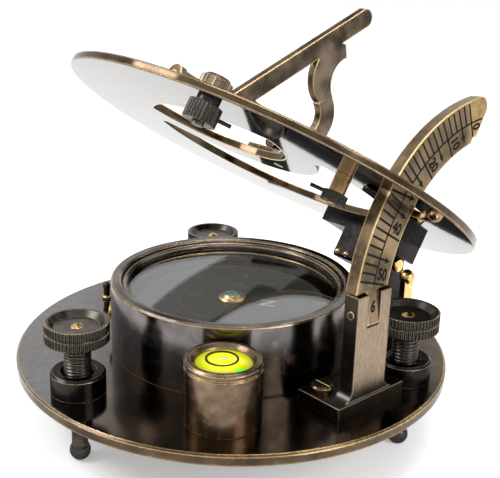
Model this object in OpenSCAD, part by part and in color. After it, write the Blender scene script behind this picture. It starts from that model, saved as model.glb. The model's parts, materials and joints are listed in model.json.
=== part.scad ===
// Sundial compass of the inclining kind, in millimetres.
// +Y is north, +X is east, +Z is up, and the origin lies on the table under the middle of the base.
// The dial plate is hinged at the north side and leans against nothing: the hinge holds it by friction.

/* [Base] */
// Diameter of the round base plate
base_d = 125; // [120:1:150]
// Thickness of the base plate
base_t = 3.2; // [2.4:0.2:5]
// Height of the base plate's underside above the table
base_lift = 17.3; // [14:0.1:20]
// Bevel on the base plate's two edges
edge_bevel = 0.5; // [0.2:0.1:1]

/* [Levelling screws] */
// Distance of each levelling screw in from the base's rim
lev_inset = 10.9; // [9:0.1:12]
// Outer diameter of the threaded boss
boss_d = 14.8; // [12:0.2:17]
// Height of the boss above the base
boss_h = 6; // [4:0.5:8]
// Diameter of the spigot that holds the boss in the base
spigot_d = 10.4; // [9:0.2:11.6]
// Outside diameter of the screw's thread
thread_d = 7.4; // [5:0.2:8]
// Diameter of the knurled head
knob_d = 17.2; // [15:0.2:19]
// Height of the knurled head
knob_t = 5.2; // [4:0.2:7]
// Clear shank between the boss and the head
shank_show = 8.8; // [6:0.2:12]
// How much lower the north-west head stands than the other two
rear_drop = 3.2; // [0:0.2:4]
// Number of knurls round the head
knob_teeth = 54; // [30:2:80]
// Depth of the knurls
knurl_depth = 0.45; // [0.2:0.05:0.7]
// Diameter of the ball foot
foot_d = 5.8; // [4.6:0.2:7]
// Diameter of the flat under the ball foot
foot_flat = 3; // [2:0.2:4]

/* [Compass] */
// Outer diameter of the compass box
box_d = 70.4; // [66:0.2:71]
// Height of the compass box
box_h = 20.5; // [18:0.5:22]
// Wall of the box beside the glass
box_wall = 3.1; // [2:0.1:4]
// Thickness of the box floor
box_floor = 3; // [2:0.5:4]
// Thickness of the cover glass
glass_t = 1.6; // [1:0.1:2.4]
// Depth of the glass's upper face under the box rim
glass_drop = 2.8; // [2:0.1:3.6]
// Width of the ring that holds the glass
bezel_w = 1.7; // [1.2:0.1:2.4]
// Diameter of the compass card
card_d = 55; // [48:1:57]
// Thickness of the compass card
card_t = 0.8; // [0.5:0.1:1.2]
// Height of the card's upper face above the base
card_level = 12.4; // [11:0.2:12.6]
// Diameter of the brass cap in the middle of the card
cap_d = 8.2; // [6:0.2:10]
// Height of the cap above the card
cap_rise = 2.6; // [2:0.2:2.8]
// Diameter of the pivot point
pivot_d = 1.7; // [1.2:0.1:2.2]

/* [Spirit level] */
// Diameter of the level's housing
level_d = 20; // [18:0.2:21]
// Height of the level's housing
level_h = 17.2; // [12:0.1:19]
// Diameter of the round vial
vial_d = 14.3; // [12:0.1:15]
// Depth of the vial in its housing
vial_t = 8.4; // [5:0.2:10]
// Direction of the level from the middle, in degrees from east
level_az = 316; // [312:1:322]

/* [Hinge] */
// Distance of the hinge axis in from the base's rim
hinge_inset = 10.5; // [9.5:0.5:11]
// Height of the hinge axis above the base
hinge_h = 17.5; // [17:0.5:19]
// Diameter of the hinge pin
pin_d = 4; // [3:0.2:5]
// Thickness of the ear of the hinge bracket
ear_t = 5.4; // [4:0.2:6]
// Radius of the round top of the ear
ear_r = 4.6; // [3.6:0.1:4.7]
// Length of the moving knuckle beside the ear
knuckle_l = 13.3; // [12:0.1:14]
// Distance of the knuckle's free end west of the middle
knuckle_west = 1.4; // [0.6:0.1:2.4]
// Reach of the leaf's flange west of the middle
flange_west = 11.6; // [11:0.2:14]
// Thickness of the leaf's flange under the dial plate
flange_t = 3.4; // [2.6:0.1:3.5]
// Inclination of the dial plate at rest, in degrees
tilt = 32.5; // [0:0.5:60]

/* [Dial plate] */
// Diameter of the dial plate
plate_d = 125; // [122:1:140]
// Thickness of the dial plate
plate_t = 2.2; // [1.6:0.1:3]
// Height of the plate's underside above the hinge axis when the plate is level
plate_rise = 8.5; // [8.5:0.1:9.5]
// Inner radius of the hour ring
ring_r = 36.5; // [35:0.5:38]
// Distance of the strap's centre south of the middle
strap_y = 29; // [28:0.5:30]
// Inner radius of the curved strap
strap_in = 24; // [23:0.5:25]
// Outer radius of the curved strap
strap_out = 33.5; // [33:0.5:35]
// Radius at the ends of the two windows
window_r = 2; // [1:0.1:2.4]

/* [Latitude arc] */
// Distance of the arc's graduated face out from the compass box
arc_gap = 16.1; // [15.6:0.1:16.4]
// Thickness of the arc
arc_t = 3.7; // [3:0.1:4]
// Width of the arc
arc_w = 11.2; // [10.8:0.1:11.6]
// Outer radius of the arc about the hinge axis
arc_out = 58.4; // [58:0.1:59]
// Angle at which the arc's outer edge ends, from level
arc_top = 87; // [84:0.5:88]
// Angle at which the arc's inner edge ends, from level
arc_end = 79.5; // [77:0.5:81]
// Lean of the arc towards the middle, in degrees
arc_lean = 6; // [0:0.5:7]
// Height of the forked post above the base
post_h = 32; // [30:0.5:33]
// Thickness of the forked post
post_t = 4.5; // [4.2:0.1:4.8]
// Width of the forked post
post_w = 12.4; // [11:0.2:13]
// Thickness of the post's foot
post_foot_t = 3.6; // [3:0.2:5]
// Width of the arc's tongue in the fork
tongue_w = 4.4; // [3:0.2:5]
// Depth of the fork's slot
fork_depth = 9; // [7:0.5:12]

/* [Gnomon] */
// Angle of the style to the plate, in degrees
style_a = 53.5; // [50:0.5:60]
// Height of the style's tip above the plate
style_h = 54; // [50:0.5:56]
// Where the style's line meets the plate, south of the middle
style_foot = 30.4; // [29:0.2:31]
// Width of the style bar
style_w = 5.4; // [4.4:0.2:6]
// Thickness of the gnomon
gnomon_t = 2.4; // [1.8:0.1:3]
// Height of the gnomon's pivot above the plate
pivot_h = 3.9; // [3.8:0.1:4.4]
// Diameter of the gnomon's pivot pins
gpin_d = 1.8; // [1.4:0.1:2.2]

/* [Plate fittings] */
// Place of the lifting knob east of the middle
lift_x = 25; // [20:1:27]
// Place of the lifting knob south of the middle
lift_y = 52; // [48:0.5:52.5]
// Diameter of the lifting knob
lift_d = 8; // [6:0.2:8.6]
// Diameter of the black thumb nut at the rim
nut_d = 8.4; // [7:0.2:9]
// Diameter of the flat black nut under the inner screw
inner_nut_d = 6.6; // [6:0.2:8]
// Thickness of the flat black nut
inner_nut_t = 2.6; // [2:0.2:4]
// Place of the inner screw east of the middle
inner_x = 38.8; // [38.6:0.2:40]
// Place of the inner screw south of the middle
inner_y = 13; // [12.6:0.2:13.6]

/* [Fits] */
// Running clearance of pins in their bores, on the radius
fit = 0.05; // [0.02:0.01:0.1]
// Clearance of screws in their holes, on the radius
screw_gap = 0.15; // [0.1:0.05:0.3]
// Clearance of seated pieces
seat_gap = 0.1; // [0.05:0.05:0.2]

/* [Hidden] */
$fn = 96;

base_top = base_lift + base_t;
hinge_z = base_top + hinge_h;
lev_az = [267, 26, 146];

// Levelling screws, heights from the table
function knob_z(i) = base_top + boss_h + shank_show - (i == 2 ? rear_drop : 0);
stub_d = 3.4;
stub_point = 0.9;
dish_depth = 1.5;
dish_edge = 1.1;
groove_t = 0.5;
groove_in = 0.7;
neck_d = 4.4;
neck_high = 8.4;
thread_low = 10.6;

// Compass, heights from the base
glass_top = box_h - glass_drop;
ledge_z = glass_top - glass_t;
bore_r = box_d / 2 - box_wall;
well_r = bore_r - bezel_w - 0.9;
cap_foot = 1.2;
pivot_top = card_level + 0.9;
pivot_boss_h = 1.8;
pivot_boss_d = 6;
magnet_l = 40;
magnet_w = 5;
magnet_t = 1.6;
jewel_d = 4.8;
lock_az = 226;
lock_z = 8;
lock_d = 4.4;
lock_shank = 2;
lock_depth = 3;
lock_head_t = 1.4;

// Spirit level
level_gap = 0.3;
level_r = box_d / 2 + level_d / 2 + level_gap;
level_x = level_r * cos(level_az);
level_y = level_r * sin(level_az);
lip_t = 1.4;
lip_in = 0.35;
vial_lip = 1.2;

// Places that follow the base's rim and the compass box
lev_r = base_d / 2 - lev_inset;
hinge_y = base_d / 2 - hinge_inset;
arc_x = box_d / 2 + arc_gap;
arc_in = arc_out - arc_w;

// Screws
screw_d = 3;
screw_head_d = 6;
screw_head_t = 2.2;
slot_w = 0.8;
slot_depth = 0.9;
screw_bite = 6;

// Arc and post, places in the east face's own plane
arc_mid = (arc_in + arc_out) / 2;
shoulder = post_h - hinge_h;
post_mid = hinge_y - sqrt(arc_mid * arc_mid - shoulder * shoulder) + 0.4;
post_s = post_mid - post_w / 2;
post_n = post_mid + post_w / 2;
foot_s = post_s - 5.6;
// The foot stops short of the north-east boss
foot_n = min(post_n + 7, lev_r * sin(lev_az[1]) - boss_d / 2 - 0.3);
foot_w = 13.3;
fillet_r = 3.2;
post_x = arc_x + 0.4 - post_t / 2;
arc_pin_z = base_top + post_h - fork_depth / 2 - 0.6;
arc_pin_d = 2;
// The leaning arc's shoulder clears the top of the post on its low side
shoulder_gap = arc_t / 2 * tan(arc_lean) + 0.1;
tip_round = 2.4;
tip_land = 3.8;
tip_notch = 1.2;

// Hinge
knuckle_east = knuckle_l - knuckle_west;
ear_in = knuckle_east + 0.3;
ear_out = ear_in + ear_t;
bracket_w = ear_in - 10;
bracket_e = ear_out + 2;
bracket_s = hinge_y - 7.5;
bracket_n = hinge_y + 6.4;
bracket_t = 3.6;
knuckle_r = plate_rise - flange_t - 0.5;
flange_east = ear_out + 2;
flange_s = 6.5;
flange_n = 6;
drop_in = ear_out + 0.4;
leaf_screw_xs = [-flange_west + 3.4, ear_in + 2.8];
leaf_screw_s = 1.5;
leaf_rivet_d = 1.6;
pin_show = 1.8;
ball_d = 4.8;
ball_x = ear_out + 5.2;
ball_drop = 2.6;
keeper_t = 2;
keeper_w = 4;
keeper_foot = 5;

// Dial plate, measured from its own middle
slot_in = arc_x - arc_t - (hinge_h + arc_mid + base_top - arc_pin_z) * tan(arc_lean) - 0.4;
slot_out = arc_x + 1.6;
slot_mid = (slot_in + slot_out) / 2;
slot_half = (slot_out - slot_in) / 2;
arc_south = hinge_y - sqrt(arc_out * arc_out - plate_rise * plate_rise);
slot_south = asin((arc_south - 0.9) / slot_mid);
slot_north = asin((post_n + 0.3) / slot_mid);
// The round ends stand this much proud of the edges they join, too little to see
swell = 0.05;

// Gnomon, measured from the plate's middle and its upper face
lug_w = 13;
lug_t = 1.4;
ear_g = 2.6;
lobe_r = 2.2;
lug_gap = 0.15;
lobe_l = 4;
lug_ear = 2.3;
lug_back = 1.5;
strap_n = sqrt(strap_out * strap_out - lug_w * lug_w / 4) - strap_y;
lug_n_mid = strap_n - 0.25 - lug_ear - lug_gap - lobe_l / 2;
lug_s_mid = -ring_r - 0.6 - lug_back - lobe_l / 2;
bar_low = pivot_h + ear_g + 0.5;
bar_high = bar_low + 3.2;
join_h = 30;
join_y = -style_foot + join_h / tan(style_a) + style_w / sin(style_a);
leg_y = join_y + 1.5;
leg_in = 10.7;
leg_n = 16.5;
leg_bend_h = 15.5;
rivet_d = 2;

// Screws of the dial plate
lift_t = 3.2;
stud_d = 3;
lift_drop = 1.6;
nut_t = 4.6;
tommy_d = 1;
tommy_l = 7.4;
inner_tommy_l = 6.8;
collar_d = 4.4;
collar_t = 5;
inner_head_d = 6;
inner_head_t = 1.8;

bronze = [0.20, 0.16, 0.12];
brass = [0.72, 0.56, 0.28];
brass_grey = [0.50, 0.45, 0.36];
black_metal = [0.10, 0.10, 0.10];
steel = [0.62, 0.62, 0.62];
clear_glass = [0.80, 0.86, 0.86];
lime = [0.80, 0.86, 0.10];
teal = [0.12, 0.45, 0.42];

// Helpers
// Outline with pointed teeth, for a knurled edge
function knurl(d, teeth, depth) = [for (i = [0 : 2 * teeth - 1])
    let (r = d / 2 - (i % 2) * depth, a = i * 180 / teeth) [r * cos(a), r * sin(a)]];

// Point where two circles about the Y axis meet on the east side
function meet(r1, y2, r2) =
    let (y = (r2 * r2 - r1 * r1 - y2 * y2) / (-2 * y2)) [sqrt(r1 * r1 - y * y), y];

module turned(points) {
    rotate_extrude() polygon(points);
}

module at_lev(i) {
    rotate([0, 0, lev_az[i]]) translate([lev_r, 0, 0]) children();
}

// Frame of the dial plate: origin on the hinge axis, Y north along the plate, Z square to it
module on_plate() {
    translate([0, hinge_y, hinge_z]) rotate([-tilt, 0, 0]) children();
}

// Frame of the dial plate's own middle, on its upper face
module on_dial() {
    on_plate() translate([0, -hinge_y, plate_rise + plate_t]) children();
}

// Frame for outlines drawn as north and height, cut t thick and centred on east x
module east_slab(x, t) {
    translate([x - t / 2, 0, 0]) rotate([90, 0, 90]) linear_extrude(t) children();
}

// Slotted cheese-head screw with its seat at z = 0
module slotted_screw(bite) {
    difference() {
        union() {
            cylinder(d = screw_head_d, h = screw_head_t - 0.5);
            translate([0, 0, screw_head_t - 0.5])
                cylinder(d1 = screw_head_d, d2 = screw_head_d - 1, h = 0.5);
            translate([0, 0, -bite]) cylinder(d = screw_d, h = bite + 0.1);
        }
        translate([-screw_head_d, -slot_w / 2, screw_head_t - slot_depth])
            cube([2 * screw_head_d, slot_w, slot_depth + 1]);
    }
}

module screw_hole(bite) {
    translate([0, 0, -bite]) cylinder(r = screw_d / 2 + screw_gap, h = bite + 1);
}

// Places of the screws
module box_screw_places() {
    for (a = [60, 180, 300]) rotate([0, 0, a]) translate([box_d / 2 - 9.5, 0, 0]) children();
}

module post_screw_places() {
    for (y = [foot_s + 3.8, foot_n - 3.8])
        translate([arc_x - foot_w + 4.6, y, base_top + post_foot_t]) children();
}

module bracket_screw_places() {
    for (y = [bracket_s + 3.6, bracket_n - 3.6])
        translate([ear_in - 4.6, y, base_top + bracket_t]) children();
}

// Base
module base_plate() {
    color(bronze) difference() {
        translate([0, 0, base_lift]) turned([[0, 0], [base_d / 2 - edge_bevel, 0],
            [base_d / 2, edge_bevel], [base_d / 2, base_t - edge_bevel],
            [base_d / 2 - edge_bevel, base_t], [0, base_t]]);
        for (i = [0 : 2]) at_lev(i)
            translate([0, 0, base_lift - 1]) cylinder(r = spigot_d / 2 + fit, h = base_t + 2);
        translate([0, 0, base_lift]) box_screw_places() mirror([0, 0, 1]) screw_hole(base_t);
        translate([level_x, level_y, base_lift]) mirror([0, 0, 1]) screw_hole(base_t);
        post_screw_places() screw_hole(post_foot_t + base_t + 1);
        bracket_screw_places() screw_hole(bracket_t + base_t + 1);
        keeper_hole();
        stud_place() translate([0, 0, -1]) cylinder(r = 1 + screw_gap, h = base_t + 2);
    }
}

// Levelling screws
module boss(i) {
    color(black_metal) at_lev(i) translate([0, 0, base_top]) turned([
        [thread_d / 2 + fit, -base_t], [spigot_d / 2, -base_t], [spigot_d / 2, 0],
        [boss_d / 2, 0], [boss_d / 2, boss_h - 0.6], [boss_d / 2 - 0.6, boss_h],
        [thread_d / 2 + 1.2, boss_h], [thread_d / 2 + fit, boss_h - 1]]);
}

module boss_south() boss(0);
module boss_northeast() boss(1);
module boss_northwest() boss(2);

module spindle(i) {
    ball_r = foot_d / 2;
    ball_z = sqrt(ball_r * ball_r - foot_flat * foot_flat / 4);
    color(black_metal) at_lev(i) union() {
        intersection() {
            translate([0, 0, ball_z]) sphere(d = foot_d);
            cylinder(d = foot_d + 1, h = foot_d + 1);
        }
        turned([[0, ball_z], [neck_d / 2, ball_z], [neck_d / 2, neck_high],
            [thread_d / 2 - 0.5, thread_low - 0.5], [thread_d / 2, thread_low],
            [thread_d / 2, knob_z(i)], [stub_d / 2, knob_z(i)],
            [stub_d / 2, knob_z(i) + knob_t - dish_depth],
            [0, knob_z(i) + knob_t - dish_depth + stub_point]]);
    }
}

module spindle_south() spindle(0);
module spindle_northeast() spindle(1);
module spindle_northwest() spindle(2);

module knob(i) {
    half_t = (knob_t - groove_t) / 2;
    color(black_metal) at_lev(i) translate([0, 0, knob_z(i)]) difference() {
        union() {
            linear_extrude(half_t) polygon(knurl(knob_d, knob_teeth, knurl_depth));
            cylinder(r = knob_d / 2 - groove_in, h = knob_t);
            translate([0, 0, half_t + groove_t]) linear_extrude(half_t)
                polygon(knurl(knob_d, knob_teeth, knurl_depth));
        }
        turned([[0, -1], [stub_d / 2 + fit, -1], [stub_d / 2 + fit, knob_t - dish_depth],
            [knob_d / 2 - dish_edge - 1.4, knob_t - dish_depth], [knob_d / 2 - dish_edge, knob_t],
            [knob_d / 2 - dish_edge, knob_t + 1], [0, knob_t + 1]]);
    }
}

module knob_south() knob(0);
module knob_northeast() knob(1);
module knob_northwest() knob(2);

// Compass
module compass_box() {
    color(bronze) translate([0, 0, base_top]) difference() {
        turned([[0, 0], [box_d / 2, 0], [box_d / 2, box_h - 0.4], [box_d / 2 - 0.4, box_h],
            [bore_r + 0.4, box_h], [bore_r, box_h - 0.4], [bore_r, ledge_z], [well_r, ledge_z],
            [well_r, box_floor], [0, box_floor]]);
        translate([0, 0, -1]) cylinder(r = pivot_boss_d / 2 + seat_gap, h = box_floor + 2);
        mirror([0, 0, 1]) box_screw_places() screw_hole(screw_bite - base_t);
        rotate([0, 0, lock_az]) translate([box_d / 2 - lock_depth, 0, lock_z]) rotate([0, 90, 0])
            cylinder(r = lock_shank / 2 + screw_gap, h = lock_depth + 1);
        rotate([0, 0, lock_az]) translate([box_d / 2 - 0.5, 0, lock_z]) rotate([0, 90, 0])
            cylinder(d = lock_d + 1, h = 2);
    }
}

module box_screws() {
    color(steel) translate([0, 0, base_lift]) mirror([0, 0, 1]) box_screw_places()
        slotted_screw(screw_bite - 0.3);
}

module bezel_ring() {
    bezel_h = glass_drop - 0.8;
    color(bronze) translate([0, 0, base_top + glass_top]) turned([
        [bore_r - seat_gap, 0], [bore_r - seat_gap, bezel_h - 0.4], [bore_r - seat_gap - 0.4, bezel_h],
        [bore_r - bezel_w + 0.6, bezel_h], [bore_r - bezel_w, bezel_h - 0.6], [bore_r - bezel_w, 0]]);
}

module compass_glass() {
    color(clear_glass) translate([0, 0, base_top + ledge_z])
        cylinder(r = bore_r - seat_gap, h = glass_t);
}

module pivot_pin() {
    color(steel) translate([0, 0, base_top]) turned([[0, 0], [pivot_boss_d / 2, 0],
        [pivot_boss_d / 2, box_floor + pivot_boss_h - 0.6],
        [pivot_boss_d / 2 - 0.6, box_floor + pivot_boss_h],
        [pivot_d / 2, box_floor + pivot_boss_h], [pivot_d / 2, pivot_top - 0.8], [0, pivot_top]]);
}

module compass_card() {
    color(black_metal) translate([0, 0, base_top + card_level - card_t]) difference() {
        cylinder(d = card_d, h = card_t);
        translate([0, 0, -1]) cylinder(r = cap_d / 2 - 1 + seat_gap, h = card_t + 2);
    }
}

module card_cap() {
    color(brass) translate([0, 0, base_top]) difference() {
        turned([[0, card_level - card_t - cap_foot], [cap_d / 2 - 1, card_level - card_t - cap_foot],
            [cap_d / 2 - 1, card_level], [cap_d / 2, card_level], [cap_d / 2, card_level + 0.7],
            [cap_d / 2 - 0.5, card_level + 1.2], [jewel_d / 2 + 0.5, card_level + 1.2],
            [jewel_d / 2, card_level + 1.8], [0, card_level + 1.8]]);
        turned([[0, 0], [pivot_d / 2 + fit, 0], [pivot_d / 2 + fit, pivot_top - 0.75],
            [0, pivot_top + 0.1]]);
    }
}

module card_jewel() {
    rise = cap_rise - 1.8;
    dome_r = (jewel_d * jewel_d / 4 + rise * rise) / (2 * rise);
    color(teal) translate([0, 0, base_top + card_level + 1.8]) intersection() {
        translate([0, 0, rise - dome_r]) sphere(r = dome_r);
        cylinder(d = jewel_d + 2, h = rise + 1);
    }
}

module card_magnet() {
    color(steel) translate([0, 0, base_top + card_level - card_t - magnet_t]) difference() {
        linear_extrude(magnet_t) polygon([[-magnet_w / 2, -magnet_l / 2 + 5], [0, -magnet_l / 2],
            [magnet_w / 2, -magnet_l / 2 + 5], [magnet_w / 2, magnet_l / 2 - 5], [0, magnet_l / 2],
            [-magnet_w / 2, magnet_l / 2 - 5]]);
        translate([0, 0, -1]) cylinder(d = cap_d - 2 + 2 * seat_gap, h = magnet_t + 2);
    }
}

module lock_screw() {
    color(brass) translate([0, 0, base_top + lock_z]) rotate([0, 0, lock_az])
        translate([box_d / 2 - 0.5, 0, 0]) rotate([0, 90, 0]) difference() {
            union() {
                cylinder(d = lock_d, h = lock_head_t);
                translate([0, 0, -lock_depth + 0.7]) cylinder(d = lock_shank, h = lock_depth);
            }
            translate([-lock_d, -slot_w / 2, lock_head_t - 0.6]) cube([2 * lock_d, slot_w, 2]);
        }
}

// Spirit level
module level_housing() {
    color(bronze) translate([level_x, level_y, base_top]) difference() {
        turned([[0, 0], [level_d / 2, 0], [level_d / 2, level_h - lip_t - 0.8],
            [level_d / 2 - lip_in, level_h - lip_t - 0.4], [level_d / 2 - lip_in, level_h - lip_t],
            [level_d / 2, level_h - lip_t + 0.3], [level_d / 2, level_h - 0.6],
            [level_d / 2 - 0.6, level_h], [vial_d / 2 + vial_lip, level_h],
            [vial_d / 2 + seat_gap, level_h - 1], [vial_d / 2 + seat_gap, level_h - vial_t],
            [0, level_h - vial_t]]);
        mirror([0, 0, 1]) screw_hole(screw_bite - base_t);
    }
}

module level_screw() {
    color(steel) translate([level_x, level_y, base_lift]) mirror([0, 0, 1])
        slotted_screw(screw_bite - 0.3);
}

module level_vial() {
    rise = 0.7;
    dome_r = (vial_d * vial_d / 4 + rise * rise) / (2 * rise);
    color(lime) translate([level_x, level_y, base_top + level_h - vial_t]) intersection() {
        translate([0, 0, vial_t - 0.6 - dome_r]) sphere(r = dome_r);
        cylinder(d = vial_d, h = vial_t);
    }
}

// Latitude arc and its post
module post_outline() {
    difference() {
        union() {
            translate([post_s, 0]) square([post_w, post_h]);
            translate([post_s - fillet_r, 0]) square([post_w + 2 * fillet_r, post_foot_t + fillet_r]);
            translate([foot_s, 0]) square([foot_n - foot_s, post_foot_t]);
        }
        for (y = [post_s - fillet_r, post_n + fillet_r])
            translate([y, post_foot_t + fillet_r]) circle(r = fillet_r);
        translate([post_mid - tongue_w / 2 - seat_gap, post_h - fork_depth])
            square([tongue_w + 2 * seat_gap, fork_depth + 1]);
    }
}

module arc_post() {
    color(brass_grey) translate([0, 0, base_top]) difference() {
        union() {
            east_slab(post_x, post_t) post_outline();
            translate([arc_x - foot_w, foot_s, 0])
                cube([foot_w + 1.1, foot_n - foot_s, post_foot_t]);
        }
        translate([0, 0, -base_top]) post_screw_places() screw_hole(post_foot_t + 1);
        translate([arc_x - arc_t / 2, post_s - 1, arc_pin_z - base_top]) rotate([-90, 0, 0])
            cylinder(r = arc_pin_d / 2 + fit, h = post_n - post_s + 2);
    }
}

module post_screws() {
    color(brass) post_screw_places() slotted_screw(post_foot_t + base_t - 0.4);
}

// Ring sector about the hinge axis, from one angle above level to another
module arc_sector(from, to) {
    far = 2 * arc_out;
    translate([hinge_y, hinge_h]) intersection() {
        difference() {
            circle(r = arc_out);
            circle(r = arc_in);
        }
        polygon([[0, 0], [-far * cos(from), far * sin(from)],
            [-far * cos((from + to) / 2), far * sin((from + to) / 2)],
            [-far * cos(to), far * sin(to)]]);
    }
}

function arc_at(r, a) = [hinge_y - r * cos(a), hinge_h + r * sin(a)];

// The tip is rounded outside and cut back on a slant to where the inner edge ends
module arc_outline() {
    round_r = arc_out - tip_round;
    round_a = arc_top - asin(tip_round / round_r);
    inner = arc_at(arc_in, arc_end);
    outer = arc_at(arc_out - tip_land, arc_top);
    difference() {
        union() {
            arc_sector(2, round_a);
            intersection() {
                arc_sector(round_a - 1, arc_top);
                union() {
                    translate(arc_at(round_r, round_a)) circle(r = tip_round);
                    translate([hinge_y, hinge_h]) circle(r = round_r);
                }
            }
        }
        polygon([inner - (outer - inner) / 4, outer + (outer - inner) / 4, arc_at(arc_out, arc_top + 9),
            arc_at(arc_in - 9, arc_top + 9), arc_at(arc_in - 9, arc_end)]);
        translate(inner) circle(r = tip_notch);
        translate([hinge_y - 2 * arc_out, -arc_out])
            square([3 * arc_out, arc_out + post_h + shoulder_gap]);
    }
    translate([post_mid - tongue_w / 2, post_h - fork_depth + 0.3])
        square([tongue_w, fork_depth + shoulder_gap]);
}

// The arc leans about its pin in the post
module latitude_arc() {
    color(brass_grey) translate([arc_x - arc_t / 2, 0, arc_pin_z]) rotate([0, -arc_lean, 0]) difference() {
        translate([0, 0, base_top - arc_pin_z]) east_slab(0, arc_t) arc_outline();
        translate([0, post_s - 1, 0]) rotate([-90, 0, 0])
            cylinder(r = arc_pin_d / 2 + fit, h = post_n - post_s + 2);
    }
}

module arc_pin() {
    color(brass) translate([arc_x - arc_t / 2, post_s, arc_pin_z]) rotate([-90, 0, 0])
        cylinder(d = arc_pin_d, h = post_n - post_s);
}

// Hinge
module hinge_bracket() {
    color(black_metal) difference() {
        union() {
            translate([bracket_w, bracket_s, base_top])
                cube([bracket_e - bracket_w, bracket_n - bracket_s, bracket_t]);
            translate([0, 0, base_top]) east_slab((ear_in + ear_out) / 2, ear_t) union() {
                translate([hinge_y, hinge_h]) circle(r = ear_r);
                translate([hinge_y - ear_r, bracket_t / 2])
                    square([2 * ear_r, hinge_h - bracket_t / 2]);
            }
        }
        bracket_screw_places() screw_hole(bracket_t + 1);
        translate([ear_in - 1, hinge_y, hinge_z]) rotate([0, 90, 0])
            cylinder(r = pin_d / 2 + fit, h = ear_t + 2);
    }
}

module bracket_screws() {
    color(brass) bracket_screw_places() slotted_screw(bracket_t + base_t - 0.4);
}

module hinge_pin() {
    color(brass) translate([-knuckle_west - 0.4, hinge_y, hinge_z]) rotate([0, 90, 0])
        cylinder(d = pin_d, h = knuckle_west + 0.4 + ear_out + pin_show);
}

// Upright finger whose ball head keeps the pin from working out
module hinge_keeper() {
    color(brass) difference() {
        union() {
            translate([ball_x - keeper_t / 2, hinge_y - keeper_w / 2, base_top])
                cube([keeper_t, keeper_w, hinge_h - ball_drop - 1]);
            translate([ball_x, hinge_y, hinge_z - ball_drop]) sphere(d = ball_d);
            translate([ball_x, hinge_y - keeper_w / 2, base_top])
                cube([keeper_foot + keeper_t / 2, keeper_w, keeper_t]);
        }
        keeper_hole();
    }
}

module keeper_hole() {
    translate([ball_x + keeper_foot - 1.4, hinge_y, base_top - base_t - 1])
        cylinder(r = rivet_d / 2 + fit, h = base_t + keeper_t + 2);
}

module keeper_rivet() {
    color(brass) translate([ball_x + keeper_foot - 1.4, hinge_y, base_lift]) union() {
        cylinder(d = rivet_d, h = base_t + keeper_t + 0.1);
        translate([0, 0, base_t + keeper_t]) cylinder(d1 = rivet_d + 1.2, d2 = rivet_d - 0.4, h = 0.8);
    }
}

// Side view of the knuckle: flat in front, with its lower corners taken off
module knuckle_outline() {
    polygon([[-flange_s, plate_rise - flange_t / 2], [-flange_s, -knuckle_r + 0.8],
        [-flange_s + 0.8, -knuckle_r], [knuckle_r - 2, -knuckle_r], [knuckle_r, -knuckle_r + 2],
        [knuckle_r, plate_rise - flange_t / 2]]);
}

module hinge_leaf() {
    color(black_metal) on_plate() difference() {
        union() {
            east_slab((knuckle_east - knuckle_west) / 2, knuckle_l) knuckle_outline();
            translate([-flange_west, -flange_s, plate_rise - flange_t])
                cube([flange_west + flange_east, flange_s + flange_n, flange_t]);
            translate([drop_in, -flange_s, pin_d / 2 + 0.5])
                cube([flange_east - drop_in, flange_s + flange_n, plate_rise - pin_d / 2 - 1]);
        }
        translate([-knuckle_west - 1, 0, 0]) rotate([0, 90, 0])
            cylinder(r = pin_d / 2 + fit, h = knuckle_l + 2);
        leaf_screw_places() translate([0, 0, -plate_t - 2.8]) cylinder(r = stud_d / 2 + fit, h = 6);
        leaf_rivet_places() translate([0, 0, -2]) cylinder(r = leaf_rivet_d / 2 + fit, h = 4);
    }
}

// Places on the plate's upper face, in the frame of the hinge
module leaf_screw_places() {
    for (x = leaf_screw_xs) translate([x, -leaf_screw_s, plate_rise + plate_t]) children();
}

module leaf_screws() {
    bite = plate_t + 2.6;
    color(brass) on_plate() leaf_screw_places() difference() {
        union() {
            translate([0, 0, -bite]) cylinder(d = stud_d, h = bite + 0.1);
            cylinder(d1 = 5.6, d2 = 4.4, h = 1.4);
        }
        translate([-4, -slot_w / 2, 0.7]) cube([8, slot_w, 2]);
    }
}

// Two brass rivets in the south face of the knuckle
module leaf_rivet_places() {
    for (x = [1.3, 4.9])
        translate([x - knuckle_west, -flange_s, -knuckle_r + 1.6]) rotate([90, 0, 0]) children();
}

module leaf_rivets() {
    color(brass) on_plate() leaf_rivet_places() union() {
        translate([0, 0, -1.8]) cylinder(d = leaf_rivet_d, h = 2);
        cylinder(d1 = leaf_rivet_d, d2 = leaf_rivet_d - 0.8, h = 0.6);
    }
}

// Dial plate
// Cuts the pointed end of a window and rounds it, c is the middle of the round
module blunt(c, t1, t2, tip) {
    far = 6;
    difference() {
        children();
        for (s = [-1, 1]) scale([s, 1]) polygon([c, c + far * (t1 - c), tip + 4 * (tip - c),
            c + far * (t2 - c)]);
    }
    for (s = [-1, 1]) translate([s * c[0], c[1]]) circle(r = window_r + swell);
}

module south_window() {
    p = [0, -strap_y];
    c = meet(ring_r - window_r, -strap_y, strap_in - window_r);
    blunt(c, c * ring_r / (ring_r - window_r), p + (c - p) * strap_in / (strap_in - window_r),
        meet(ring_r, -strap_y, strap_in))
        intersection() {
            circle(r = ring_r);
            translate(p) circle(r = strap_in);
        }
}

module north_window() {
    p = [0, -strap_y];
    c = meet(ring_r - window_r, -strap_y, strap_out + window_r);
    blunt(c, c * ring_r / (ring_r - window_r), p + (c - p) * strap_out / (strap_out + window_r),
        meet(ring_r, -strap_y, strap_out))
        difference() {
            circle(r = ring_r);
            translate(p) circle(r = strap_out);
        }
}

module arc_window() {
    intersection() {
        difference() {
            circle(r = slot_out);
            circle(r = slot_in);
        }
        polygon([[0, 0], 2 * slot_out * [cos(slot_south), sin(slot_south)],
            2 * slot_out * [cos(slot_north), sin(slot_north)]]);
    }
    for (a = [slot_south, slot_north])
        translate(slot_mid * [cos(a), sin(a)]) circle(r = slot_half + swell);
}

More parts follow.
